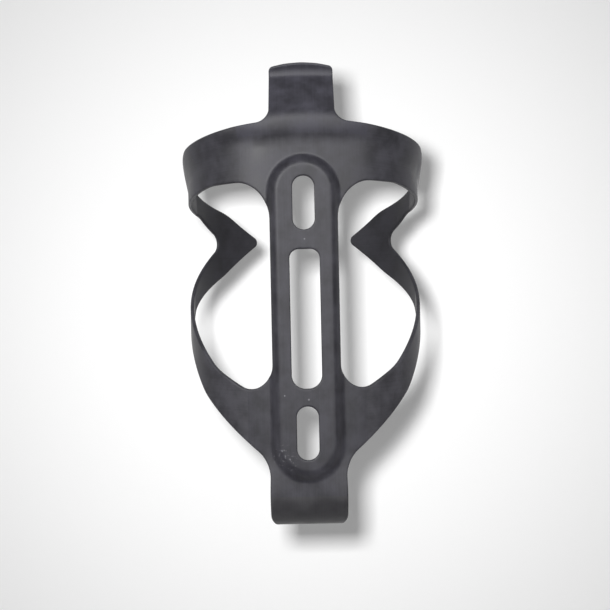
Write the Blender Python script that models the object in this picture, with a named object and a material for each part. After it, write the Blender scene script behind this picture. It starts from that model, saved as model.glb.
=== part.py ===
"""Bottle cage moulded in carbon fibre, for a bicycle frame with two M5 bosses.

The cage is one thin laminate wrapped round the bottle. It is laid up from nine cut pieces of
cloth, which are the nodes here: each piece is an outer and an inner layer, and the layers end
at different places, so that neighbours lap over one another with a thin bond line between.

The pieces are cut from one flat pattern: u runs round the shell from the spine, v runs up it.
The pattern is then wrapped on the mould, which adds the raised bolt pad, the flared rim, the
hook at the top and the toe at the bottom.

Frame: metres, +Z up along the spine, -Y towards the bicycle frame, +Y towards the bottle.
The origin is midway between the two bosses, on the face of the bolt pad.
"""

from math import ceil, cos, hypot, pi, radians, sin, tan

import bmesh
import bpy
import numpy as np
from mathutils import Vector
from mathutils.geometry import delaunay_2d_cdt

# ---------------------------------------------------------------- driving dimensions, metres

BOTTLE_BORE = 0.0727        # inside diameter, a little under a 73 to 74 mm bottle, so it grips
WALL = 0.0012               # laminate thickness
BOND_LINE = 0.0003          # clearance between two pieces, all round
LAP = 0.0030                # how far neighbouring pieces lap

BOSS_SPACING = 0.064        # the two M5 bosses on the bicycle frame
SLOT_WIDTH = 0.0061
SLOT_LENGTH = 0.0149
WINDOW_WIDTH = 0.0084
UPPER_WEB = 0.00545         # left between the upper slot and the window
LOWER_WEB = 0.00495         # left between the lower slot and the window
WINDOW_TOP_RADIUS = 0.0026
WINDOW_BOTTOM_RADIUS = 0.0038

PAD_RISE = 0.0022           # bolt pad above the back of the shell
PAD_FLAT_HALF = 0.0067      # half the width of its flat face
PAD_CROWN = 0.0015          # width of the rounding along the edge of the flat face
PAD_FOOT_HALF = 0.0108      # half the width of the foot of its wall
PAD_FOOT = 0.0016           # width of the rounding at the foot
PAD_TOP_END = 0.0035        # centre of its round upper end, past the boss
PAD_BOTTOM_END = 0.0038     # centre of its round lower end, past the boss

SPINE_HALF = 0.0100         # half the spine's width
BAND_CORNER_RADIUS = 0.0110
CRADLE_CORNER_RADIUS = 0.0070

HOOK_HALF = 0.0095          # half the width of the hook at the top
HOOK_ROOT_RADIUS = 0.0040
HOOK_CROWN = 0.0009         # how far the middle of its end stands above the corners
HOOK_CROWN_RADIUS = 0.0200
HOOK_CORNER_RADIUS = 0.0013
TOE_HALF = 0.0109           # half the width of the toe at its bend
TOE_TAPER_DROP = 0.0074     # where it starts to narrow, down the sheet from the bend's start
TOE_TAPER_RADIUS = 0.0100
TOE_END_HALF = 0.0080       # half its width at the end
TOE_ROOT_RADIUS = 0.0090
TOE_BEND_RADIUS = 0.0103
TOE_REACH = 0.0050          # flat part of the toe, past its bend
TOE_CORNER_RADIUS = 0.0055
TOE_FLATTENING = 0.0120     # height over which the round shell turns into the flat toe

RIM_OVER_BOSS = 0.0237      # height of the band's rim beside the hook, over the upper boss
HOOK_UNDER_RIM = 0.0040     # where the hook's first bend starts, under that rim
TOE_UNDER_BOSS = 0.0180     # where the toe's bend starts, under the lower boss
FLARE = 0.0016              # how far the rim stands out at the sides
FLARE_BACK_DEPTH = 0.0034   # how far down the flare reaches at the back
FLARE_SIDE_DEPTH = 0.0095   # and at the sides
FLARE_BACK_SHARE = 0.55     # share of the flare that is left at the back
FLARE_GROWTH = (20.0, 75.0)     # degrees over which it grows to its full reach
FLARE_FADE = (80.0, 106.0)      # degrees over which it dies out along the arm
CENTRE_FADE = (16.0, 32.0)      # degrees over which the hook's bends run out into the band

# Lengths along the hook's sheet, from its root up
HOOK_ROOT_BEND = 0.0016
HOOK_ROOT_FLAT = 0.0003
HOOK_LEAN_BEND = 0.0036
HOOK_LEAN_FLAT = 0.0138
HOOK_LIP_BEND = 0.0029
HOOK_LIP_FLAT = 0.0013

# Heights at which the edges of the loop turn
SHOULDER_HEIGHT = 0.0523
ELBOW_HEIGHT = 0.0419
ARM_TOP_HEIGHT = 0.0366
ARM_TIP_HEIGHT = 0.0270
ARM_LOW_HEIGHT = 0.0144
SIDE_LOW_HEIGHT = 0.0022
CRADLE_OUT_DROP = 0.0224    # below the origin
BAND_LOW_HEIGHT = 0.0392
BAND_FRONT_HEIGHT = 0.0340
NOTCH_HEIGHT = 0.0262
SIDE_INNER_HEIGHT = 0.0070
CRADLE_IN_DROP = 0.0147     # below the origin
SPINE_TOP = 0.0389          # where the band's lower edge would meet the spine
SPINE_DROP = 0.0242         # where the cradle's upper edge would meet it, below the origin

# Radii of those turns
SHOULDER_RADIUS = 0.0220
ELBOW_RADIUS = 0.0260
ARM_TOP_RADIUS = 0.0200
ARM_TIP_RADIUS = 0.0021
ARM_LOW_RADIUS = 0.0300
SIDE_RADIUS = 0.0150
CRADLE_OUT_RADIUS = 0.0200
LOOP_INNER_RADIUS = 0.0250
NOTCH_RADIUS = 0.0038
BAND_FRONT_RADIUS = 0.0100

# Corners of the loop's edges: (degrees round from the spine, height, fillet radius)
RIM_SHOULDER = (79.0, SHOULDER_HEIGHT, SHOULDER_RADIUS)
RIM_ELBOW = (98.0, ELBOW_HEIGHT, ELBOW_RADIUS)
ARM_TOP = (131.0, ARM_TOP_HEIGHT, ARM_TOP_RADIUS)
ARM_TIP = (153.8, ARM_TIP_HEIGHT, ARM_TIP_RADIUS)
ARM_LOW = (128.0, ARM_LOW_HEIGHT, ARM_LOW_RADIUS)
SIDE_LOW = (93.0, SIDE_LOW_HEIGHT, SIDE_RADIUS)
CRADLE_OUT = (55.0, -CRADLE_OUT_DROP, CRADLE_OUT_RADIUS)
CRADLE_SLOPE = 0.72         # fall of the cradle's lower edge towards the toe
BAND_LOW = (48.0, BAND_LOW_HEIGHT, LOOP_INNER_RADIUS)
BAND_FRONT = (106.0, BAND_FRONT_HEIGHT, BAND_FRONT_RADIUS)
NOTCH = (128.0, NOTCH_HEIGHT, NOTCH_RADIUS)
SIDE_INNER = (88.5, SIDE_INNER_HEIGHT, SIDE_RADIUS)
CRADLE_IN = (45.8, -CRADLE_IN_DROP, LOOP_INNER_RADIUS)

# Bends of the hook from its root up: (length along the sheet, lean at the end in degrees).
# A positive lean is towards the bottle.
HOOK_BENDS = (
    (HOOK_ROOT_BEND, -18.0),
    (HOOK_ROOT_FLAT, -18.0),
    (HOOK_LEAN_BEND, 28.0),
    (HOOK_LEAN_FLAT, 28.0),
    (HOOK_LIP_BEND, -35.0),
    (HOOK_LIP_FLAT, -35.0),
)

# Outer edges of the laps
BAND_SEAM = 29.0            # degrees, centre to band
CRADLE_SEAM = 27.0          # degrees, centre to cradle
ARM_UPPER_SEAM = 99.0       # degrees, band to arm
ARM_LOWER_SEAM = 89.0       # degrees, cradle to arm

# ---------------------------------------------------------------- facets

FACET_ANGLE = 5.0           # degrees of shell per facet
FILLET_STEP = 15.0          # degrees of fillet per edge
PAD_END_STEPS = 14          # edges round the pad's end
PAD_CROWN_STEPS = 3
PAD_FOOT_STEPS = 3
BEND_STEP = 9.0             # degrees of bend per facet
FLARE_STEPS = 4
FLATTENING_STEPS = 5
MIN_STRIP = 0.0009          # narrowest strip left beside a lap
STRAIGHT = 89.5             # half angle, in degrees, from which a corner counts as straight
FLAT_LEAN = 1e-9            # change of lean, in radians, below which a length is straight
MERGE = 1e-7                # points of the pattern closer than this are one
NORMAL_STEP = 0.00002       # step along the pattern for taking a normal
SHARP_ANGLE = 30.0          # degrees between facets from which an edge is drawn sharp

SATIN_CARBON = (0.045, 0.044, 0.050, 1.0)
SATIN_ROUGHNESS = 0.42

SHELL_RADIUS = BOTTLE_BORE / 2 + WALL
SHELL_BACK = PAD_RISE                     # y of the back of the shell's outer face
AXIS_Y = SHELL_BACK + SHELL_RADIUS        # y of the bottle's axis
BOSS = BOSS_SPACING / 2                   # height of the upper boss
PAD_TOP = BOSS + PAD_TOP_END              # centres of the pad's round ends
PAD_BOTTOM = -BOSS - PAD_BOTTOM_END
WINDOW_TOP = BOSS - SLOT_LENGTH / 2 - UPPER_WEB
WINDOW_BOTTOM = -BOSS + SLOT_LENGTH / 2 + LOWER_WEB
RIM_BACK = BOSS + RIM_OVER_BOSS
HOOK_BEND_START = RIM_BACK - HOOK_UNDER_RIM
TOE_BEND_START = -BOSS - TOE_UNDER_BOSS
OUTER_LAYER = (WALL - BOND_LINE) / 2      # depth of the outer layer's inside face
INNER_LAYER = (WALL + BOND_LINE) / 2      # depth of the inner layer's outside face


def round_shell(degrees):
    """Distance round the shell's outside for an angle at the bottle's axis."""
    return radians(degrees) * SHELL_RADIUS


# ---------------------------------------------------------------- flat pattern

def filleted(corners):
    """Closed outline through (u, v, radius) corners, with an arc in place of each corner."""
    outline = []
    count = len(corners)
    for i, (u, v, radius) in enumerate(corners):
        here = Vector((u, v))
        back = (Vector(corners[i - 1][:2]) - here).normalized()
        ahead = (Vector(corners[(i + 1) % count][:2]) - here).normalized()
        half = back.angle(ahead) / 2
        if radius == 0 or half > radians(STRAIGHT):
            outline.append(here)
            continue
        centre = here + (back + ahead).normalized() * radius / sin(half)
        start = here + back * radius / tan(half) - centre
        turn = (pi - 2 * half) * (1 if back.cross(ahead) < 0 else -1)
        steps = max(2, ceil(abs(turn) / radians(FILLET_STEP)))
        for k in range(steps + 1):
            swing = turn * k / steps
            outline.append(centre + Vector((
                start.x * cos(swing) - start.y * sin(swing),
                start.x * sin(swing) + start.y * cos(swing))))
    return outline


def mirrored(corners):
    """The half outline followed by its reflection, as one closed run of corners."""
    return corners + [(-u, v, radius) for u, v, radius in reversed(corners)]


def on_shell(corner):
    degrees, v, radius = corner
    return (round_shell(degrees), v, radius)


def hook_length():
    return sum(length for length, lean in HOOK_BENDS)


def toe_length():
    return TOE_BEND_RADIUS * pi / 2 + TOE_REACH


def shell_outline():
    """The whole cage opened flat, without its holes."""
    hook_end = HOOK_BEND_START + hook_length()
    toe_end = TOE_BEND_START - toe_length()
    toe_root = CRADLE_OUT[1] - CRADLE_SLOPE * (round_shell(CRADLE_OUT[0]) - TOE_HALF)
    half = [
        (0.0, hook_end, 0.0),
        (HOOK_HALF / 2, hook_end - HOOK_CROWN / 4, HOOK_CROWN_RADIUS),
        (HOOK_HALF, hook_end - HOOK_CROWN, HOOK_CORNER_RADIUS),
        (HOOK_HALF, RIM_BACK, HOOK_ROOT_RADIUS),
        on_shell(RIM_SHOULDER),
        on_shell(RIM_ELBOW),
        on_shell(ARM_TOP),
        on_shell(ARM_TIP),
        on_shell(ARM_LOW),
        on_shell(SIDE_LOW),
        on_shell(CRADLE_OUT),
        (TOE_HALF, toe_root, TOE_ROOT_RADIUS),
        (TOE_HALF, TOE_BEND_START - TOE_TAPER_DROP, TOE_TAPER_RADIUS),
        (TOE_END_HALF, toe_end, TOE_CORNER_RADIUS),
    ]
    return filleted(half + [(-u, v, radius) for u, v, radius in reversed(half[1:])])


def side_hole(side):
    """The large opening between the spine, the band, the arm and the cradle."""
    corners = [
        (SPINE_HALF, SPINE_TOP, BAND_CORNER_RADIUS),
        on_shell(BAND_LOW),
        on_shell(BAND_FRONT),
        on_shell(NOTCH),
        on_shell(SIDE_INNER),
        on_shell(CRADLE_IN),
        (SPINE_HALF, -SPINE_DROP, CRADLE_CORNER_RADIUS),
    ]
    return filleted([(side * u, v, radius) for u, v, radius in corners])


def window_hole():
    half = WINDOW_WIDTH / 2
    return filleted(mirrored([
        (half, WINDOW_TOP, WINDOW_TOP_RADIUS),
        (half, WINDOW_BOTTOM, WINDOW_BOTTOM_RADIUS)]))


def slot_hole(height):
    half = SLOT_WIDTH / 2
    end = SLOT_LENGTH / 2
    return filleted(mirrored([(half, height + end, half), (half, height - end, half)]))


def pad_ring(reach):
    """A line round the bolt pad, at one distance from its centre line."""
    angles = [pi * k / PAD_END_STEPS for k in range(PAD_END_STEPS + 1)]
    top = [Vector((reach * cos(a), PAD_TOP + reach * sin(a))) for a in angles]
    bottom = [Vector((-reach * cos(a), PAD_BOTTOM - reach * sin(a))) for a in angles]
    return top + bottom


def pad_reaches():
    """Distances from the pad's centre line at which its section changes slope."""
    foot = PAD_FOOT_HALF - PAD_FOOT
    crown = [PAD_FLAT_HALF + PAD_CROWN * k / PAD_CROWN_STEPS for k in range(PAD_CROWN_STEPS + 1)]
    return crown + [foot + PAD_FOOT * k / PAD_FOOT_STEPS for k in range(PAD_FOOT_STEPS + 1)]


# ---------------------------------------------------------------- mould

def smooth(t):
    """0 up to 0 and 1 from 1, with an even slope between."""
    t = min(max(t, 0.0), 1.0)
    return t * t * (3 - 2 * t)


def passed(degrees, span):
    """How far an angle has gone through a span of angles, eased at both ends."""
    start, end = span
    return smooth((degrees - start) / (end - start))


def hook_profile(v):
    """Lean-in towards the bottle and height of the hook's sheet at a pattern height v."""
    inset = 0.0
    height = HOOK_BEND_START
    left = v - HOOK_BEND_START
    lean = 0.0
    for length, end_degrees in HOOK_BENDS:
        end = radians(end_degrees)
        run = min(left, length)
        reached = lean + (end - lean) * run / length
        if abs(end - lean) < FLAT_LEAN:
            inset += run * sin(lean)
            height += run * cos(lean)
        else:
            radius = length / (end - lean)
            inset += radius * (cos(lean) - cos(reached))
            height += radius * (sin(reached) - sin(lean))
        lean = end
        left -= run
        if left <= 0:
            break
    return inset, height


def toe_profile(v):
    """Lean-in and height of the toe's sheet below its bend."""
    run = TOE_BEND_START - v
    turn = min(run / TOE_BEND_RADIUS, pi / 2)
    flat = run - turn * TOE_BEND_RADIUS
    inset = TOE_BEND_RADIUS * (1 - cos(turn)) + flat
    height = TOE_BEND_START - TOE_BEND_RADIUS * sin(turn)
    return inset, height


def rim_line():
    """The band's rim as (distance round the shell, height), up to the arm's tip."""
    return sorted((point.x, min(point.y, RIM_BACK)) for point in shell_outline()
                  if point.x > HOOK_HALF and point.y > ARM_TIP[1])


def rim_height(degrees):
    """Height of the band's rim, round the shell."""
    places, heights = RIM
    return float(np.interp(round_shell(degrees), places, heights))


def rim_flare(degrees, v):
    """How far the shell stands out from its cylinder below the rim, at the sides."""
    sideways = passed(degrees, FLARE_GROWTH)
    depth = FLARE_BACK_DEPTH + (FLARE_SIDE_DEPTH - FLARE_BACK_DEPTH) * sideways
    share = FLARE_BACK_SHARE + (1 - FLARE_BACK_SHARE) * sideways
    reach = FLARE * share * (1 - passed(degrees, FLARE_FADE))
    return reach * smooth((v - rim_height(degrees) + depth) / depth)


def pad_share(u, v):
    """1 on the pad's flat face, 0 past its foot, with a rounded crown, a wall and a foot."""
    reach = hypot(u, max(v - PAD_TOP, PAD_BOTTOM - v, 0.0))
    along = PAD_FOOT_HALF - reach
    span = PAD_FOOT_HALF - PAD_FLAT_HALF
    if along <= 0:
        return 0.0
    if along >= span:
        return 1.0
    slope = 1 / (span - PAD_CROWN / 2 - PAD_FOOT / 2)
    if along < PAD_FOOT:
        return slope * along * along / (2 * PAD_FOOT)
    if along > span - PAD_CROWN:
        rest = span - along
        return 1 - slope * rest * rest / (2 * PAD_CROWN)
    return slope * (along - PAD_FOOT / 2)


def mould(u, v):
    """Point on the mould face, which is the cage's outside, for a point of the pattern."""
    angle = u / SHELL_RADIUS
    degrees = abs(angle) * 180 / pi
    inset = 0.0
    height = v
    if v > HOOK_BEND_START and degrees < BAND_SEAM + FACET_ANGLE:
        inset, height = hook_profile(v)
    elif v < TOE_BEND_START:
        inset, height = toe_profile(v)
    in_upper_half = v > 0
    centre = 1 - passed(degrees, CENTRE_FADE) if in_upper_half else 1.0
    inset *= centre
    height = v + (height - v) * centre
    flare = rim_flare(degrees, v) * (1 - centre) if in_upper_half else 0.0
    out = SHELL_RADIUS + flare
    across = out * sin(angle)
    back = AXIS_Y - out * cos(angle) + inset
    flat = smooth((TOE_BEND_START + TOE_FLATTENING - v) / TOE_FLATTENING)
    across += (u - across) * flat
    back += (SHELL_BACK + inset - back) * flat
    return Vector((across, back * (1 - pad_share(u, v)), height))


def inward(u, v):
    """Unit normal of the mould face, into the cage's wall."""
    across = mould(u + NORMAL_STEP, v) - mould(u - NORMAL_STEP, v)
    up = mould(u, v + NORMAL_STEP) - mould(u, v - NORMAL_STEP)
    return up.cross(across).normalized()


# ---------------------------------------------------------------- seams and pieces

def seams():
    """Each lap as (direction, place of its outer edge, from, to) on the right half."""
    middle = NOTCH[1]
    top = HOOK_BEND_START + hook_length()
    low = TOE_BEND_START - toe_length()
    return [
        ("u", round_shell(BAND_SEAM), middle, top),
        ("u", round_shell(CRADLE_SEAM), low, middle),
        ("u", round_shell(ARM_UPPER_SEAM), middle, top),
        ("u", round_shell(ARM_LOWER_SEAM), low, middle),
        ("v", HOOK_BEND_START, -round_shell(BAND_SEAM), round_shell(BAND_SEAM)),
        ("v", TOE_BEND_START, -TOE_HALF, TOE_HALF),
    ]


def side_of(value, seam):
    """-1 inside a seam, 1 past it, 0 in its bond line."""
    if abs(value - seam) < BOND_LINE / 2:
        return 0
    return 1 if value > seam else -1


def piece_at(u, v, shift):
    """Which piece a point of the pattern belongs to, in the layer whose laps end at shift."""
    hand = "right" if u > 0 else "left"
    upper = v > NOTCH[1]
    arm_seam, side_seam = (ARM_UPPER_SEAM, BAND_SEAM) if upper else (ARM_LOWER_SEAM, CRADLE_SEAM)
    past_arm = side_of(abs(u), round_shell(arm_seam) - shift)
    past_side = side_of(abs(u), round_shell(side_seam) - shift)
    if past_arm == 0 or past_side == 0:
        return None
    if past_arm > 0:
        return "grip_arm_" + hand
    if past_side > 0:
        return ("upper_band_" if upper else "lower_cradle_") + hand
    past_hook = side_of(v, HOOK_BEND_START - shift)
    past_toe = side_of(-v, -TOE_BEND_START - shift)
    if past_hook == 0 or past_toe == 0:
        return None
    if past_hook > 0:
        return "top_hook"
    if past_toe > 0:
        return "bottle_toe"
    return "spine_plate"


# ---------------------------------------------------------------- cutting the pattern

def inside(point, outline):
    """Whether a flat point lies inside a closed outline."""
    u, v = point
    within = False
    previous = outline[-1]
    for corner in outline:
        if (corner.y > v) != (previous.y > v):
            cross = previous.x + (v - previous.y) * (corner.x - previous.x) / (corner.y - previous.y)
            if u < cross:
                within = not within
        previous = corner
    return within


def fold_lines():
    """Straight lines across the pattern on which the shell's facets meet."""
    lines = []
    middle = NOTCH[1]
    top = HOOK_BEND_START + hook_length()
    low = TOE_BEND_START - toe_length()
    cuts = {True: [], False: []}
    for kind, place, start, end in seams():
        for edge in (place, place - LAP):
            for gap in (edge - BOND_LINE / 2, edge + BOND_LINE / 2):
                if kind == "u":
                    cuts[start == middle].append(gap)
                    lines += [((s * gap, start), (s * gap, end)) for s in (-1, 1)]
                else:
                    height = gap if place > 0 else 2 * place - gap
                    lines.append(((start, height), (end, height)))
    spacing = round_shell(FACET_ANGLE)
    pad_ends = (PAD_TOP + PAD_FOOT_HALF, PAD_BOTTOM - PAD_FOOT_HALF)
    count = int(round_shell(ARM_TIP[0]) / spacing)
    for k in range(count + 1):
        u = k * spacing
        for upper, (start, end) in ((True, (middle, top)), (False, (low, middle))):
            if any(abs(u - cut) < MIN_STRIP for cut in cuts[upper]):
                continue
            if u < PAD_FOOT_HALF:
                start, end = (pad_ends[0], top) if upper else (low, pad_ends[1])
            for s in ((-1, 1) if k else (1,)):
                lines.append(((s * u, start), (s * u, end)))
    hook_edge = round_shell(BAND_SEAM)
    v = HOOK_BEND_START
    lean = 0.0
    for length, end_lean in HOOK_BENDS:
        steps = max(1, ceil(abs(end_lean - lean) / BEND_STEP))
        for k in range(1, steps + 1):
            height = v + length * k / steps
            lines.append(((-hook_edge, height), (hook_edge, height)))
        v += length
        lean = end_lean
    for k in range(1, ceil(90 / BEND_STEP) + 1):
        height = TOE_BEND_START - TOE_BEND_RADIUS * min(radians(k * BEND_STEP), pi / 2)
        lines.append(((-TOE_HALF, height), (TOE_HALF, height)))
    for k in range(1, FLATTENING_STEPS):
        height = TOE_BEND_START + TOE_FLATTENING * k / FLATTENING_STEPS
        reach = round_shell(CRADLE_SEAM) - LAP - MIN_STRIP
        lines.append(((-reach, height), (reach, height)))
    shoulder = RIM_SHOULDER[1]
    for k in range(FLARE_STEPS):
        height = shoulder - FLARE_SIDE_DEPTH * (k + 0.5) / FLARE_STEPS
        for s in (-1, 1):
            lines.append(((s * hook_edge, height), (s * round_shell(RIM_ELBOW[0]), height)))
    return lines


def cut_pattern():
    """The flat pattern as points and triangles, with every lap edge and fold as an edge."""
    outer = shell_outline()
    holes = [side_hole(1), side_hole(-1), window_hole(),
             slot_hole(BOSS), slot_hole(-BOSS)]
    points = []
    edges = []
    for loop in [outer, *holes, *(pad_ring(reach) for reach in pad_reaches())]:
        first = len(points)
        points += loop
        edges += [(first + k, first + (k + 1) % len(loop)) for k in range(len(loop))]
    for start, end in fold_lines():
        edges.append((len(points), len(points) + 1))
        points += [Vector(start), Vector(end)]
    flat, _, faces, *_ = delaunay_2d_cdt(points, edges, [], 0, MERGE)
    kept = []
    for face in faces:
        corners = [flat[i] for i in face]
        middle = sum(corners, Vector((0, 0))) / 3
        if inside(middle, outer) and not any(inside(middle, hole) for hole in holes):
            kept.append((tuple(face), middle))
    return flat, kept


# ---------------------------------------------------------------- laminate

def layers_of(name, middle):
    """Depths between which a piece has cloth at a flat point."""
    has_outer = piece_at(middle.x, middle.y, 0.0) == name
    has_inner = piece_at(middle.x, middle.y, LAP) == name
    if has_outer and has_inner:
        return (0.0, WALL)
    if has_outer:
        return (0.0, OUTER_LAYER)
    if has_inner:
        return (INNER_LAYER, WALL)
    return None


def laminate(name, flat, faces):
    """One closed piece: its faces at each depth, and walls wherever the depths change."""
    cells = [(face, layers_of(name, middle)) for face, middle in faces]
    cells = [(face, span) for face, span in cells if span]
    depths_at = {}
    span_of_edge = {}
    for face, span in cells:
        for k in range(3):
            a, b = face[k], face[(k + 1) % 3]
            span_of_edge[(a, b)] = span
            depths_at.setdefault(a, set()).update(span)
    bm = bmesh.new()
    made = {}

    def point(i, depth):
        if (i, depth) not in made:
            u, v = flat[i]
            made[(i, depth)] = bm.verts.new(mould(u, v) + inward(u, v) * depth)
        return made[(i, depth)]

    def wall(a, b, top, bottom):
        """Upright face under the edge a to b, with every depth that its corners carry."""
        down_b = [d for d in sorted(depths_at[b]) if top <= d <= bottom]
        up_a = [d for d in sorted(depths_at[a], reverse=True) if top <= d <= bottom]
        bm.faces.new([point(a, d) for d in up_a] + [point(b, d) for d in down_b])

    for face, (top, bottom) in cells:
        bm.faces.new([point(i, top) for i in face])
        bm.faces.new([point(i, bottom) for i in reversed(face)])
    for (a, b), (top, bottom) in span_of_edge.items():
        across = span_of_edge.get((b, a))
        if across is None:
            wall(a, b, top, bottom)
            continue
        if top < across[0]:
            wall(a, b, top, across[0])
        if bottom > across[1]:
            wall(a, b, across[1], bottom)
    bmesh.ops.recalc_face_normals(bm, faces=bm.faces)
    bmesh.ops.triangulate(bm, faces=bm.faces)
    mesh = bpy.data.meshes.new(name)
    bm.to_mesh(mesh)
    bm.free()
    return mesh


def carbon(name):
    """Satin lacquer over black carbon cloth."""
    material = bpy.data.materials.new(name + "_carbon")
    material.use_nodes = True
    shader = material.node_tree.nodes["Principled BSDF"]
    shader.inputs["Base Color"].default_value = SATIN_CARBON
    shader.inputs["Roughness"].default_value = SATIN_ROUGHNESS
    shader.inputs["Metallic"].default_value = 0.0
    return material


def add_piece(name, flat, faces):
    mesh = laminate(name, flat, faces)
    mesh.shade_smooth()
    mesh.set_sharp_from_angle(angle=radians(SHARP_ANGLE))
    piece = bpy.data.objects.new(name, mesh)
    piece.data.materials.append(carbon(name))
    bpy.context.scene.collection.objects.link(piece)
    return piece


def clear_scene():
    for old in list(bpy.data.objects):
        bpy.data.objects.remove(old, do_unlink=True)


clear_scene()
RIM = tuple(zip(*rim_line()))
pattern, triangles = cut_pattern()
for piece_name in ("spine_plate", "top_hook", "bottle_toe",
                   "upper_band_left", "upper_band_right",
                   "grip_arm_left", "grip_arm_right",
                   "lower_cradle_left", "lower_cradle_right"):
    add_piece(piece_name, pattern, triangles)
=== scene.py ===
"""Looks of the moulded carbon-fibre bottle cage, piece by piece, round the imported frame.

Metres. +Z up along the spine, -Y towards the bicycle frame, +Y towards the bottle.
"""

from math import ceil, cos, hypot, pi, radians, sin, tan

import bmesh
import bpy
import numpy as np
from mathutils import Matrix, Vector


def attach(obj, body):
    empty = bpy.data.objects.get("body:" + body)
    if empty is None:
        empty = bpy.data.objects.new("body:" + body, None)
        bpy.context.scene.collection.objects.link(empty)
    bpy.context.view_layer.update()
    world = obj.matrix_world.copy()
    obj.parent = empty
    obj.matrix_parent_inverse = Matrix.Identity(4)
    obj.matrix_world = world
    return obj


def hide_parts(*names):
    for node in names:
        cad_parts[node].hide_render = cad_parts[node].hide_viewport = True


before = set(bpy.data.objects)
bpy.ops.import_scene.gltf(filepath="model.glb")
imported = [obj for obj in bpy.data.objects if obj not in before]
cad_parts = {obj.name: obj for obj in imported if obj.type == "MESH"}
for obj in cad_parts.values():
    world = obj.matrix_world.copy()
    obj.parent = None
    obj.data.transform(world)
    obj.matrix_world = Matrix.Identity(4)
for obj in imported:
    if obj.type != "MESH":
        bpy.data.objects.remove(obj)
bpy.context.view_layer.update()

# ---------------------------------------------------------------- spine plate
# The spine is unidirectional carbon cloth in epoxy, laid up the back of the mould, where a flat
# recess forms the raised bolt pad. The window and the two bolt slots are cut through it after
# curing, and the edges are sanded.

BOTTLE_BORE = 0.0727
WALL = 0.0012
PAD_RISE = 0.0022
PAD_FLAT_HALF = 0.0067
PAD_CROWN = 0.0022          # length of the round between its flat face and its wall
PAD_FOOT_HALF = 0.0108
PAD_FOOT = 0.0010           # length of the round between its wall and the shell
PAD_TOP = 0.0355            # middles of its round ends
PAD_BOTTOM = -0.0354
SHELL_RADIUS = BOTTLE_BORE / 2 + WALL
AXIS_Y = PAD_RISE + SHELL_RADIUS

BOSS = 0.032
SLOT_HALF = 0.00305
SLOT_END = 0.00745
SLOT_ROUND = 0.00304        # full-round ends, but for a hair of straight cut
WINDOW_HALF = 0.0042
WINDOW_TOP = 0.0191
WINDOW_TOP_ROUND = 0.0026
WINDOW_BOTTOM = -0.0196
WINDOW_BOTTOM_ROUND = 0.0038
SPINE_HALF = 0.0100
TOE_HALF = 0.0109

# Corners of the flat cloth: (distance round the mould, height, radius of its rounding)
SPINE_SHOULDER = (SPINE_HALF, 0.0389, 0.0110)
SPINE_HIP = (SPINE_HALF, -0.0242, 0.0070)

HOOK_SEAM = 0.0517
TOE_SEAM = -0.0500
BAND_SEAM = 29.0            # degrees round the mould
CRADLE_SEAM = 27.0
PAST_SEAM = 0.005           # the spine's cloth is cut longer by this, and trimmed at its seams
TOE_FLATTENING = 0.0120     # height over which the round spine turns into the flat toe
LOBE_SPLIT = 0.0120         # height between the band's side of the spine and the cradle's

RIM_BACK = 0.0557
HOOK_HALF = 0.0095
FLARE = 0.0016              # how far the rim stands out at the sides
FLARE_AT_HOOK = 0.85        # share of that beside the hook
FLARE_DEEP_AT_HOOK = 0.0052  # how far below the rim it starts
FLARE_DEEP_AT_SIDE = 0.0095
FLARE_GROWS = (20, 75)      # degrees round the mould, from the hook's share to all of it
FLARE_DIES = (80, 106)      # and from all of it to none
HOOK_FADES = (16, 32)       # degrees over which the hook's bends die out

# The sheet starts to bend a little below the hook's seam.
HOOK_ROOT = 0.0480
# (length along the sheet, lean towards the bottle at the end in degrees)
HOOK_BENDS = (
    (0.0030, -22.0),
    (0.0014, -20.0),
    (0.0064, 32.0),
    (0.0128, 32.0),
    (0.0029, -35.0),
    (0.0013, -35.0),
)
HOOK_END = HOOK_ROOT + sum(length for length, lean in HOOK_BENDS)

EDGE_ROUND = 0.00042        # radius of the sanded edges
EDGE_TURNS = (30, 60, 90)   # degrees of that round at each line along the edge
ARC_STEP = 6.0              # degrees of a cut corner per edge
SHARP = 42.0                # degrees between faces that don't shade as one
TOUCHING = 1e-7             # points nearer than this are one point
STRAIGHT = 1e-6             # an edge that leans by less than this runs along the cloth
FINE_PITCH = 0.0005         # between the lines that the cloth is ruled with


def at_angle(degrees):
    """Distance round the mould from the spine's middle."""
    return radians(degrees) * SHELL_RADIUS


def corner_at(degrees, height, radius=0.0):
    """A corner of the flat cloth, placed by its angle round the mould."""
    return (at_angle(degrees), height, radius)


RIM_SHOULDER = corner_at(79.0, 0.0523, 0.022)
RIM_ELBOW = corner_at(98.0, 0.0419, 0.026)
ARM_TOP = corner_at(131.0, 0.0366, 0.020)
BAND_LOW = corner_at(48.0, 0.0392, 0.025)
CRADLE_IN = corner_at(45.8, -0.0147, 0.025)
CRADLE_OUT = corner_at(55.0, -0.0224, 0.020)
CRADLE_SLOPE = 0.72         # fall of its lower edge towards the toe, per length round the mould
TOE_ROOT = (TOE_HALF, CRADLE_OUT[1] - CRADLE_SLOPE * (CRADLE_OUT[0] - TOE_HALF), 0.0090)


def blunt(corner):
    """The same corner without its rounding, where it only leads the knife past a seam."""
    return (corner[0], corner[1], 0.0)


def both_sides(corners):
    """The right half of a symmetrical pattern followed by its left half."""
    return corners + [(-u, v, radius) for u, v, radius in reversed(corners)]


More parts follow.
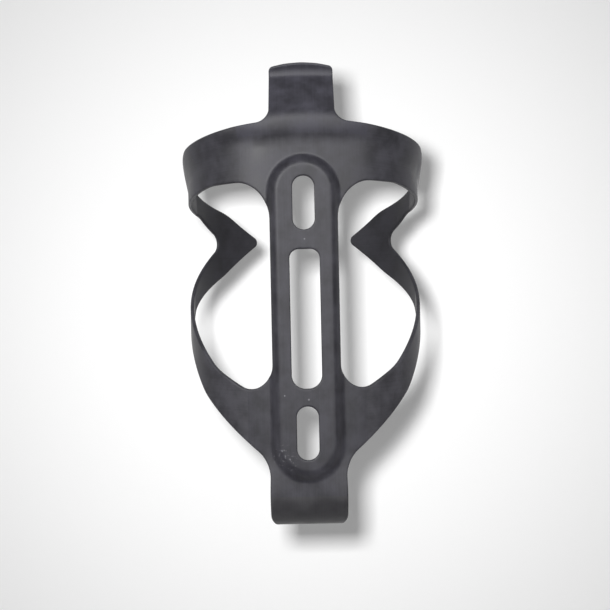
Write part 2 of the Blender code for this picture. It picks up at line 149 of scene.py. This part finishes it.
def cut_line(cloth, corners):
    """One closed cut in the flat cloth: straight runs, with an arc spun at each corner."""
    ends = []
    for k, (u, v, radius) in enumerate(corners):
        here = Vector((u, v, 0))
        back = (Vector((*corners[k - 1][:2], 0)) - here).normalized()
        ahead = (Vector((*corners[(k + 1) % len(corners)][:2], 0)) - here).normalized()
        half = back.angle(ahead) / 2
        if radius == 0:
            first = last = cloth.verts.new(here)
        else:
            first = cloth.verts.new(here + back * radius / tan(half))
            turn = (pi - 2 * half) * (1 if back.cross(ahead).z < 0 else -1)
            spun = bmesh.ops.spin(
                cloth, geom=[first], cent=here + (back + ahead).normalized() * radius / sin(half),
                axis=(0, 0, 1), angle=turn, steps=max(2, ceil(abs(turn) / radians(ARC_STEP))))
            last = spun["geom_last"][0]
        ends.append((first, last))
    for k, (first, last) in enumerate(ends):
        cloth.edges.new((ends[k - 1][1], first))


def cut_cloth(*outlines):
    """Flat cloth inside the first outline and outside the others, lined for a sanded edge."""
    cloth = bmesh.new()
    for corners in outlines:
        cut_line(cloth, corners)
    bmesh.ops.triangle_fill(cloth, use_beauty=True, edges=cloth.edges[:], normal=(0, 0, 1))
    drop = cloth.verts.layers.float.new("edge_drop")
    middle = cloth.faces.layers.int.new("middle")
    for vert in cloth.verts:
        vert[drop] = EDGE_ROUND
    inner = cloth.faces[:]
    reached = 0.0
    for turn in EDGE_TURNS:
        reach = EDGE_ROUND * (1 - cos(radians(turn)))
        bmesh.ops.inset_region(cloth, faces=inner, use_boundary=True, use_even_offset=True,
                               thickness=reach - reached)
        reached = reach
        for vert in {vert for face in inner for vert in face.verts}:
            vert[drop] = EDGE_ROUND * (1 - sin(radians(turn)))
    for face in inner:
        face[middle] = 1
    return cloth


ROUND = Vector((1, 0, 0))   # the flat cloth's two directions
UP = Vector((0, 1, 0))


def anywhere(middle):
    """Leaves no part of the cloth out."""
    return True


def score(cloth, across, place, where=anywhere):
    """Makes one straight line across the cloth an edge."""
    faces = [face for face in cloth.faces if where(face.calc_center_median())]
    geom = faces + list({edge for face in faces for edge in face.edges})
    geom += list({vert for face in faces for vert in face.verts})
    bmesh.ops.bisect_plane(cloth, geom=geom, dist=TOUCHING, plane_co=across * place,
                           plane_no=across)


def trim(cloth, across, place, keep, where=anywhere):
    """Cuts along one straight line and keeps the side of it that keep points to."""
    score(cloth, across, place, where)
    gone = [face for face in cloth.faces
            if (face.calc_center_median().dot(across) - place) * keep < 0
            and where(face.calc_center_median())]
    bmesh.ops.delete(cloth, geom=gone, context="FACES")


def rule_grid(cloth, pitch_round, pitch_up):
    """Rules the cloth both ways and takes out the slanting edges that its filling left."""
    for across, pitch in ((ROUND, pitch_round), (UP, pitch_up)):
        places = [vert.co.dot(across) for vert in cloth.verts]
        for k in range(ceil(min(places) / pitch), int(max(places) // pitch) + 1):
            score(cloth, across, k * pitch)
    middle = cloth.faces.layers.int["middle"]
    slanting = []
    for edge in cloth.edges:
        run = edge.verts[1].co - edge.verts[0].co
        if len(edge.link_faces) == 2 and all(face[middle] for face in edge.link_faces):
            if abs(run.x) > STRAIGHT and abs(run.y) > STRAIGHT:
                slanting.append(edge)
    bmesh.ops.dissolve_edges(cloth, edges=slanting, use_verts=True)
    many_sided = [face for face in cloth.faces if len(face.verts) > 4]
    bmesh.ops.triangulate(cloth, faces=many_sided)


def into_wall(form, u, v):
    """Direction from the mould face into the laminate."""
    step = 0.00002
    across = form(u + step, v) - form(u - step, v)
    up = form(u, v + step) - form(u, v - step)
    return up.cross(across).normalized()


def lay_up(name, cloth, form, finish, mirror=False):
    """Presses the flat cloth on the mould, gives it its wall, and sets it on its node."""
    flat = cloth.verts[:]
    drop = cloth.verts.layers.float["edge_drop"]
    bmesh.ops.extrude_face_region(cloth, geom=cloth.faces[:])
    laid = cloth.loops.layers.uv.new("cloth")
    for face in cloth.faces:
        for loop in face.loops:
            loop[laid].uv = loop.vert.co.xy
    against_mould = set(flat)
    for vert in cloth.verts:
        u, v, _ = vert.co
        depth = vert[drop] if vert in against_mould else WALL - vert[drop]
        vert.co = form(u, v) + into_wall(form, u, v) * depth
    if mirror:
        bmesh.ops.scale(cloth, vec=(-1, 1, 1), verts=cloth.verts[:])
    bmesh.ops.recalc_face_normals(cloth, faces=cloth.faces[:])
    mesh = bpy.data.meshes.new(name + "_moulded")
    cloth.to_mesh(mesh)
    cloth.free()
    mesh.shade_smooth()
    mesh.set_sharp_from_angle(angle=radians(SHARP))
    piece = bpy.data.objects.new(name + "_moulded", mesh)
    bpy.context.scene.collection.objects.link(piece)
    mesh.materials.append(finish)
    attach(piece, "root")
    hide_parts(name)


def on_mould(u, height, out=0.0, inset=0.0):
    """Point on the round mould, standing out from it or let in towards the bottle."""
    angle = u / SHELL_RADIUS
    reach = SHELL_RADIUS + out
    return Vector((reach * sin(angle), AXIS_Y - reach * cos(angle) + inset, height))


def eased(value, start, end):
    """0 before start, 1 after end, and a smooth step between."""
    t = min(max((value - start) / (end - start), 0.0), 1.0)
    return t * t * (3 - 2 * t)


def pad_share(u, v):
    """1 on the pad's flat face and 0 past its foot, rounded at both."""
    along = PAD_FOOT_HALF - hypot(u, max(v - PAD_TOP, PAD_BOTTOM - v, 0.0))
    span = PAD_FOOT_HALF - PAD_FLAT_HALF
    slope = 1 / (span - PAD_CROWN / 2 - PAD_FOOT / 2)
    if along <= 0:
        return 0.0
    if along >= span:
        return 1.0
    if along < PAD_FOOT:
        return slope * along * along / (2 * PAD_FOOT)
    if along > span - PAD_CROWN:
        return 1 - slope * (span - along) ** 2 / (2 * PAD_CROWN)
    return slope * (along - PAD_FOOT / 2)


def flattened(u, v, point, inset=0.0):
    """The same point, drawn to a flat sheet towards the toe, and lifted to the bolt pad."""
    flat = eased(TOE_SEAM + TOE_FLATTENING - v, 0.0, TOE_FLATTENING)
    point.x += (u - point.x) * flat
    point.y += (PAD_RISE + inset - point.y) * flat
    point.y *= 1 - pad_share(u, v)
    return point


def trace_rim():
    """Height of the rim along the mould, read off a cut of its corners."""
    strip = bmesh.new()
    cut_line(strip, [(HOOK_HALF, RIM_BACK, 0.0), RIM_SHOULDER, RIM_ELBOW, blunt(ARM_TOP),
                     (HOOK_HALF, 0.0, 0.0)])
    line = sorted((vert.co.x, vert.co.y) for vert in strip.verts if vert.co.y > 0)
    strip.free()
    return tuple(zip(*line))


RIM_PLACES, RIM_HEIGHTS = trace_rim()


def degrees_round(u):
    """Angle from the spine's middle, on either side of it."""
    return abs(u) / SHELL_RADIUS * 180 / pi


def flare_out(u, v):
    """How far the rim stands out from the round mould."""
    sideways = eased(degrees_round(u), *FLARE_GROWS)
    depth = FLARE_DEEP_AT_HOOK + (FLARE_DEEP_AT_SIDE - FLARE_DEEP_AT_HOOK) * sideways
    reach = FLARE * (FLARE_AT_HOOK + (1 - FLARE_AT_HOOK) * sideways)
    reach *= 1 - eased(degrees_round(u), *FLARE_DIES)
    rim = float(np.interp(abs(u), RIM_PLACES, RIM_HEIGHTS))
    return reach * eased(v, rim - depth, rim)


def hook_bend(v):
    """Inset and height of the middle of the sheet where it bends towards the hook."""
    inset = 0.0
    height = HOOK_ROOT
    left = v - HOOK_ROOT
    lean = 0.0
    for length, end_degrees in HOOK_BENDS:
        end = radians(end_degrees)
        run = min(left, length)
        turn = (end - lean) / length
        if turn == 0:
            inset += run * sin(lean)
            height += run * cos(lean)
        else:
            reached = lean + turn * run
            inset += (cos(lean) - cos(reached)) / turn
            height += (sin(reached) - sin(lean)) / turn
        lean = end
        left -= run
        if left <= 0:
            break
    return inset, height


def crown_form(u, v):
    """The mould above the spine's middle: hook in the centre, flared rim round the sides."""
    centre = 1 - eased(degrees_round(u), *HOOK_FADES)
    inset, height = hook_bend(v) if v > HOOK_ROOT else (0.0, v)
    return on_mould(u, v + (height - v) * centre, out=flare_out(u, v) * (1 - centre),
                    inset=inset * centre)


def spine_form(u, v):
    """The back of the mould, with the bolt pad, down to where it turns flat for the toe."""
    return flattened(u, v, crown_form(u, v))


def linear(hex_colour):
    """Linear colour of an sRGB hex value."""
    channels = [int(hex_colour[k:k + 2], 16) / 255 for k in (1, 3, 5)]
    return tuple(c / 12.92 if c <= 0.04045 else ((c + 0.055) / 1.055) ** 2.4
                 for c in channels) + (1.0,)


def add_node(material, kind, settings=None, links=None):
    """One node, with its settings by name and its sockets fed by a value or another socket."""
    node = material.node_tree.nodes.new(kind)
    for name, value in (settings or {}).items():
        setattr(node, name, value)
    for name, source in (links or {}).items():
        if isinstance(source, bpy.types.NodeSocket):
            material.node_tree.links.new(source, node.inputs[name])
        else:
            node.inputs[name].default_value = source
    return node


TOW_PITCH = 0.0004          # from one bundle of fibres to the next
TOW_RUN = 0.020             # how far the eye follows one
TOW_SHARE = 0.20            # of the tint; the clouds have the rest
CLOUD = 0.00625             # breadth of the clouds where the resin lies thicker
TINT_SPAN = (0.38, 0.62)    # of the pattern, from the dark tint to the light one
CLOUD_SPAN = (0.3, 0.7)     # of the clouds, from the glossy lacquer to the dull one
GLOSSY = 0.37
DULL = 0.53
RIPPLE = 0.0002             # height of the lacquer's ripple
RIPPLE_SHARE = 0.25


def lacquered_carbon(name, dark, light, along, dullness=0.0):
    """Unidirectional carbon cloth in epoxy under satin lacquer.

    The tows run one way and show as faint long streaks. The lacquer levels over them, so the
    gloss is broad, with cloudy patches where the resin lies thicker. A dull face was against
    the bag, which leaves the resin matt.
    """
    material = bpy.data.materials.new(name)
    material.use_nodes = True
    shader = material.node_tree.nodes["Principled BSDF"]
    where = add_node(material, "ShaderNodeTexCoord")
    tow = (1 / TOW_PITCH, 1 / TOW_RUN, 1.0)
    if along == "round":
        tow = (1 / TOW_RUN, 1 / TOW_PITCH, 1.0)
    laid = add_node(material, "ShaderNodeMapping", links={
        "Vector": where.outputs["UV"], "Scale": tow})
    tows = add_node(material, "ShaderNodeTexNoise", links={
        "Vector": laid.outputs["Vector"], "Scale": 1.0, "Detail": 3.0, "Roughness": 0.55})
    clouds = add_node(material, "ShaderNodeTexNoise", links={
        "Vector": where.outputs["Object"], "Scale": 1 / CLOUD, "Detail": 4.0, "Roughness": 0.6})
    streaks = add_node(material, "ShaderNodeMath", {"operation": "MULTIPLY"}, {
        0: tows.outputs["Fac"], 1: TOW_SHARE})
    pattern = add_node(material, "ShaderNodeMath", {"operation": "MULTIPLY_ADD"}, {
        0: clouds.outputs["Fac"], 1: 1 - TOW_SHARE, 2: streaks.outputs["Value"]})
    ramp = add_node(material, "ShaderNodeValToRGB", links={"Fac": pattern.outputs["Value"]})
    for stop, place, tint in zip(ramp.color_ramp.elements, TINT_SPAN, (dark, light)):
        stop.position = place
        stop.color = linear(tint)
    rough = add_node(material, "ShaderNodeMapRange", links={
        "Value": clouds.outputs["Fac"], "From Min": CLOUD_SPAN[0], "From Max": CLOUD_SPAN[1],
        "To Min": GLOSSY + dullness, "To Max": DULL + dullness})
    lacquer = add_node(material, "ShaderNodeBump", links={
        "Height": pattern.outputs["Value"], "Strength": RIPPLE_SHARE, "Distance": RIPPLE})
    tree = material.node_tree
    tree.links.new(ramp.outputs["Color"], shader.inputs["Base Color"])
    tree.links.new(rough.outputs["Result"], shader.inputs["Roughness"])
    tree.links.new(lacquer.outputs["Normal"], shader.inputs["Normal"])
    shader.inputs["IOR"].default_value = 1.5
    return material


SPINE_CARBON = lacquered_carbon("spine_lacquered_carbon", "#1e1d23", "#323138", "up",
                                dullness=-0.06)

# Dust in the lacquer leaves pale specks on the pad, and its lower left edge is scuffed where
# it was rubbed. (distance round the mould, height, radius)
SPECKS = ((0.0001, 0.0219, 0.00030), (0.0004, -0.0226, 0.00034), (-0.0063, -0.0214, 0.00028))
SCUFFS = ((-0.0072, -0.0383, 0.0040), (-0.0050, -0.0402, 0.0028))
MARK_MIDDLE = 0.3           # share of a mark's radius that is worn right through
SCRATCH = 1 / 1300          # the scuffs are broken into scratches under 1 mm across
SCRATCH_SPAN = (0.58, 0.74)  # of the noise, from whole lacquer to scratched

laid = add_node(SPINE_CARBON, "ShaderNodeTexCoord").outputs["UV"]
rubbed = add_node(SPINE_CARBON, "ShaderNodeTexNoise", links={
    "Vector": laid, "Scale": 1 / SCRATCH, "Detail": 2.0})
scratched = add_node(SPINE_CARBON, "ShaderNodeMapRange", links={
    "Value": rubbed.outputs["Fac"], "From Min": SCRATCH_SPAN[0], "From Max": SCRATCH_SPAN[1]})
worn = 0.0
for marks, cover in ((SPECKS, 1.0), (SCUFFS, scratched.outputs["Result"])):
    for u, v, reach in marks:
        away = add_node(SPINE_CARBON, "ShaderNodeVectorMath", {"operation": "DISTANCE"}, {
            0: laid, 1: (u, v, 0.0)})
        near = add_node(SPINE_CARBON, "ShaderNodeMapRange", links={
            "Value": away.outputs["Value"], "From Min": reach, "From Max": MARK_MIDDLE * reach})
        mark = add_node(SPINE_CARBON, "ShaderNodeMath", {"operation": "MULTIPLY"}, {
            0: near.outputs["Result"], 1: cover})
        worn = add_node(SPINE_CARBON, "ShaderNodeMath", {"operation": "MAXIMUM"}, {
            0: mark.outputs["Value"], 1: worn}).outputs["Value"]
spine_shader = SPINE_CARBON.node_tree.nodes["Principled BSDF"]
whole = spine_shader.inputs["Base Color"].links[0].from_socket
scuffed = add_node(SPINE_CARBON, "ShaderNodeMixRGB", links={
    "Fac": worn, "Color1": whole, "Color2": linear("#6c6b70")})
SPINE_CARBON.node_tree.links.new(scuffed.outputs["Color"], spine_shader.inputs["Base Color"])

spine_cloth = cut_cloth(
    both_sides([
        (BAND_LOW[0], HOOK_SEAM + PAST_SEAM, 0.0),
        blunt(BAND_LOW),
        SPINE_SHOULDER,
        SPINE_HIP,
        blunt(CRADLE_IN),
        blunt(CRADLE_OUT),
        TOE_ROOT,
        (TOE_HALF, TOE_SEAM - PAST_SEAM, 0.0)]),
    both_sides([
        (WINDOW_HALF, WINDOW_TOP, WINDOW_TOP_ROUND),
        (WINDOW_HALF, WINDOW_BOTTOM, WINDOW_BOTTOM_ROUND)]),
    *[both_sides([
        (SLOT_HALF, boss + SLOT_END, SLOT_ROUND),
        (SLOT_HALF, boss - SLOT_END, SLOT_ROUND)]) for boss in (BOSS, -BOSS)])
trim(spine_cloth, UP, HOOK_SEAM, keep=-1)
trim(spine_cloth, UP, TOE_SEAM, keep=1)
score(spine_cloth, UP, LOBE_SPLIT)
for side in (1, -1):
    trim(spine_cloth, ROUND, side * at_angle(BAND_SEAM), keep=-side,
         where=lambda middle: middle.y > LOBE_SPLIT)
    trim(spine_cloth, ROUND, side * at_angle(CRADLE_SEAM), keep=-side,
         where=lambda middle: middle.y < LOBE_SPLIT)
rule_grid(spine_cloth, FINE_PITCH, FINE_PITCH)
lay_up("spine_plate", spine_cloth, spine_form, SPINE_CARBON)

# ---------------------------------------------------------------- retaining hook
# The hook is a tongue of the same cloth, with the rim on both sides of its root. It is bent
# back from the bottle there, leans in over the bottle's groove, and ends in a lip turned out.

HOOK_CROWN = 0.0009         # how much lower its corners are than its middle
HOOK_CROWN_ROUND = 0.0200
HOOK_CORNER = 0.0013
HOOK_FILLET = 0.0040
CUT_LOW = 0.0400            # the cloth is cut this far down, and trimmed at its seams
HOOK_PITCH = 0.0004         # finer up the sheet, for its tight bends

HOOK_CARBON = lacquered_carbon("hook_lacquered_carbon", "#201f26", "#33323b", "up")

hook_cloth = cut_cloth([(0.0, HOOK_END, HOOK_CROWN_ROUND)] + both_sides([
    (HOOK_HALF / 2, HOOK_END - HOOK_CROWN / 4, HOOK_CROWN_ROUND),
    (HOOK_HALF, HOOK_END - HOOK_CROWN, HOOK_CORNER),
    (HOOK_HALF, RIM_BACK, HOOK_FILLET),
    blunt(RIM_SHOULDER),
    (RIM_SHOULDER[0], CUT_LOW, 0.0)]))
trim(hook_cloth, UP, HOOK_SEAM, keep=1)
for side in (1, -1):
    trim(hook_cloth, ROUND, side * at_angle(BAND_SEAM), keep=-side)
rule_grid(hook_cloth, FINE_PITCH, HOOK_PITCH)
lay_up("top_hook", hook_cloth, crown_form, HOOK_CARBON)

# ---------------------------------------------------------------- toe
# The toe is the lower end of the spine's cloth, bent through a right angle so that the
# bottle stands on it.

TOE_BEND_RADIUS = 0.0103
TOE_REACH = 0.0050          # past the bend
TOE_TAPER = -0.0574         # where on the flat cloth it starts to narrow
TOE_TAPER_ROUND = 0.0100
TOE_END_HALF = 0.0080
TOE_CORNER = 0.0055
TOE_END = TOE_SEAM - TOE_BEND_RADIUS * pi / 2 - TOE_REACH


def toe_form(u, v):
    """The mould where it bends in under the bottle."""
    run = max(TOE_SEAM - v, 0.0)
    turn = min(run / TOE_BEND_RADIUS, pi / 2)
    inset = TOE_BEND_RADIUS * (1 - cos(turn)) + run - turn * TOE_BEND_RADIUS
    height = max(v, TOE_SEAM) - TOE_BEND_RADIUS * sin(turn)
    return flattened(u, v, on_mould(u, height, inset=inset), inset)


TOE_CARBON = lacquered_carbon("toe_lacquered_carbon", "#252427", "#333235", "up")

toe_cloth = cut_cloth(both_sides([
    (TOE_HALF, TOE_SEAM + TOE_FLATTENING, 0.0),
    (TOE_HALF, TOE_TAPER, TOE_TAPER_ROUND),
    (TOE_END_HALF, TOE_END, TOE_CORNER)]))
trim(toe_cloth, UP, TOE_SEAM, keep=-1)
rule_grid(toe_cloth, FINE_PITCH, FINE_PITCH)
lay_up("bottle_toe", toe_cloth, toe_form, TOE_CARBON)

# ---------------------------------------------------------------- upper bands
# Each band carries the rim round the bottle from the spine to the arm. Its cloth runs round
# the mould, and its rim is flared out to lead the bottle in.

NOTCH = corner_at(128.0, 0.0262, 0.0038)
BAND_FRONT = corner_at(106.0, 0.0340, 0.010)
ARM_UPPER_SEAM = 99.0       # degrees round the mould
BROAD_PITCH = 0.0008        # even cloth needs fewer lines

BAND_CARBON = lacquered_carbon("band_lacquered_carbon", "#1d1c22", "#323138", "round")

for hand in ("left", "right"):
    band_cloth = cut_cloth([
        (HOOK_HALF, RIM_BACK, 0.0), RIM_SHOULDER, RIM_ELBOW, blunt(ARM_TOP), blunt(NOTCH),
        BAND_FRONT, BAND_LOW, SPINE_SHOULDER, (SPINE_HALF, 0.0, 0.0), (0.0, 0.0, 0.0)])
    trim(band_cloth, ROUND, at_angle(BAND_SEAM), keep=1)
    trim(band_cloth, ROUND, at_angle(ARM_UPPER_SEAM), keep=-1)
    rule_grid(band_cloth, BROAD_PITCH, BROAD_PITCH)
    lay_up("upper_band_" + hand, band_cloth, crown_form, BAND_CARBON, mirror=hand == "left")

# ---------------------------------------------------------------- lower cradles
# Each cradle climbs from the spine's foot to the arm. It holds the arm's lower end, and the
# arm springs against it as the bottle goes in.

SIDE_LOW = corner_at(93.0, 0.0022, 0.015)
SIDE_INNER = corner_at(88.5, 0.0070, 0.015)
ARM_LOW = corner_at(128.0, 0.0144, 0.030)
ARM_LOWER_SEAM = 89.0

CRADLE_CARBON = lacquered_carbon("cradle_lacquered_carbon", "#222126", "#38373d", "round")

for hand in ("left", "right"):
    cradle_cloth = cut_cloth([
        (0.0, 0.0, 0.0), (SPINE_HALF, 0.0, 0.0), SPINE_HIP, CRADLE_IN, SIDE_INNER,
        blunt(NOTCH), blunt(ARM_LOW), SIDE_LOW, CRADLE_OUT, blunt(TOE_ROOT),
        (0.0, TOE_ROOT[1], 0.0)])
    trim(cradle_cloth, ROUND, at_angle(CRADLE_SEAM), keep=1)
    trim(cradle_cloth, ROUND, at_angle(ARM_LOWER_SEAM), keep=-1)
    rule_grid(cradle_cloth, BROAD_PITCH, BROAD_PITCH)
    lay_up("lower_cradle_" + hand, cradle_cloth, on_mould, CRADLE_CARBON, mirror=hand == "left")

# ---------------------------------------------------------------- grip arms
# The arms are two pointed wings that meet band and cradle at the sides and spring apart to
# let the bottle in. What shows of them is mostly the inner face, which lay against the bag, so
# their lacquer is duller than that of the other pieces.

ARM_TIP = corner_at(153.8, 0.0270, 0.0021)

ARM_CARBON = lacquered_carbon("arm_lacquered_carbon", "#1c1b21", "#2f2e35", "round",
                              dullness=0.17)

for hand in ("left", "right"):
    arm_cloth = cut_cloth([
        blunt(RIM_SHOULDER), RIM_ELBOW, ARM_TOP, ARM_TIP, ARM_LOW, SIDE_LOW,
        blunt(CRADLE_OUT), blunt(CRADLE_IN), SIDE_INNER, NOTCH, BAND_FRONT, blunt(BAND_LOW)])
    score(arm_cloth, UP, NOTCH[1])
    trim(arm_cloth, ROUND, at_angle(ARM_UPPER_SEAM), keep=1,
         where=lambda middle: middle.y > NOTCH[1])
    trim(arm_cloth, ROUND, at_angle(ARM_LOWER_SEAM), keep=1,
         where=lambda middle: middle.y < NOTCH[1])
    rule_grid(arm_cloth, BROAD_PITCH, BROAD_PITCH)
    lay_up("grip_arm_" + hand, arm_cloth, crown_form, ARM_CARBON, mirror=hand == "left")

# ---------------------------------------------------------------- studio
# A white card stands well behind the cage and sweeps forward into a floor. Four soft lamps in
# front light the cage and not the card: a long one hangs above it, a low one fills in below, a
# small one stands at the left, and a narrow one catches the bends of the hook and the rim. A
# small lamp beside the camera lights the card alone, so the cage's shadow falls to the right.

CARD_BEHIND = 0.300
CARD_FRONT = -1.0
CARD_HALF = 1.20
CARD_TOP = 0.90
FLOOR = -0.60
SWEEP_RADIUS = 0.20
SWEEP_STEPS = 16

card = bmesh.new()
top = card.verts.new((-CARD_HALF, CARD_BEHIND, CARD_TOP))
foot = card.verts.new((-CARD_HALF, CARD_BEHIND, FLOOR + SWEEP_RADIUS))
card.edges.new((top, foot))
swept = bmesh.ops.spin(
    card, geom=[foot], cent=(-CARD_HALF, CARD_BEHIND - SWEEP_RADIUS, FLOOR + SWEEP_RADIUS),
    axis=(1, 0, 0), angle=-pi / 2, steps=SWEEP_STEPS)
front = card.verts.new((-CARD_HALF, CARD_FRONT, FLOOR))
card.edges.new((swept["geom_last"][0], front))
wide = bmesh.ops.extrude_edge_only(card, edges=card.edges[:])
bmesh.ops.translate(card, vec=(2 * CARD_HALF, 0, 0),
                    verts=[item for item in wide["geom"] if isinstance(item, bmesh.types.BMVert)])
bmesh.ops.recalc_face_normals(card, faces=card.faces[:])
card_mesh = bpy.data.meshes.new("studio_card")
card.to_mesh(card_mesh)
card.free()
card_mesh.shade_smooth()
studio_card = bpy.data.objects.new("studio_card", card_mesh)
bpy.context.scene.collection.objects.link(studio_card)

white_card = bpy.data.materials.new("white_card")
white_card.use_nodes = True
white_shader = white_card.node_tree.nodes["Principled BSDF"]
white_shader.inputs["Base Color"].default_value = linear("#f4f4f4")
white_shader.inputs["Roughness"].default_value = 0.9
white_shader.inputs["Specular IOR Level"].default_value = 0.0
card_mesh.materials.append(white_card)


def soft_lamp(name, place, across, down, power, aim=None):
    """A rectangular lamp that faces the cage squarely, or turned to a point, unseen itself."""
    light = bpy.data.lights.new(name, "AREA")
    light.shape = "RECTANGLE"
    light.size = across
    light.size_y = down
    light.energy = power
    lamp = bpy.data.objects.new(name, light)
    lamp.location = place
    facing = Vector(aim) - Vector(place) if aim else Vector((0, 1, 0))
    lamp.rotation_euler = facing.to_track_quat("-Z", "Y").to_euler()
    lamp.visible_camera = False
    bpy.context.scene.collection.objects.link(lamp)
    return lamp


PAD_UPPER_HALF = (0, 0, 0.03)
SHADOW_LAMP_HEIGHT = 0.0130  # a little over the camera, so that the shadow falls low

key_lamp = soft_lamp("key_lamp", (-0.37, -0.55, 0.345), across=3.00, down=0.59, power=10.8)
fill_lamp = soft_lamp("fill_lamp", (-0.15, -0.55, -0.075), across=2.10, down=0.25, power=2.4)
side_lamp = soft_lamp("side_lamp", (-0.44, -0.42, 0.24), across=0.16, down=0.22, power=0.65,
                      aim=PAD_UPPER_HALF)
top_lamp = soft_lamp("top_lamp", (-0.05, -0.53, 0.43), across=1.00, down=0.14, power=1.6)
shadow_lamp = soft_lamp("shadow_lamp", (-0.0088, -0.195, SHADOW_LAMP_HEIGHT),
                        across=0.010, down=0.010, power=2.2,
                        aim=(0, CARD_BEHIND, SHADOW_LAMP_HEIGHT))

the_card = bpy.data.collections.new("the_card")
the_card.objects.link(studio_card)
shadow_lamp.light_linking.receiver_collection = the_card
all_but_the_card = bpy.data.collections.new("all_but_the_card")
all_but_the_card.objects.link(studio_card)
all_but_the_card.collection_objects[0].light_linking.link_state = "EXCLUDE"
for lamp in (key_lamp, fill_lamp, side_lamp, top_lamp):
    lamp.light_linking.receiver_collection = all_but_the_card

world = bpy.data.worlds.new("studio_world")
world.use_nodes = True
bpy.context.scene.world = world
sky = world.node_tree.nodes["Background"]
sky.inputs["Color"].default_value = linear("#ffffff")
sky.inputs["Strength"].default_value = 0.33

# The camera stands on the bicycle-frame side, 200 mm from the bolt pad.
CAMERA_PLACE = (-0.00039, -0.200, 0.00499)
CAMERA_ROLL = 1.2           # degrees
lens = bpy.data.cameras.new("camera")
lens.sensor_width = 36.0
lens.lens = 42.7
lens.shift_x = 0.0017
lens.shift_y = -0.0082
lens.clip_start = 0.01
lens.clip_end = 10.0
camera = bpy.data.objects.new("camera", lens)
camera.matrix_world = (Matrix.Translation(CAMERA_PLACE)
                       @ Matrix.Rotation(radians(90), 4, "X")
                       @ Matrix.Rotation(radians(-CAMERA_ROLL), 4, "Z"))
bpy.context.scene.collection.objects.link(camera)
bpy.context.scene.camera = camera
bpy.context.scene.view_settings.view_transform = "Standard"
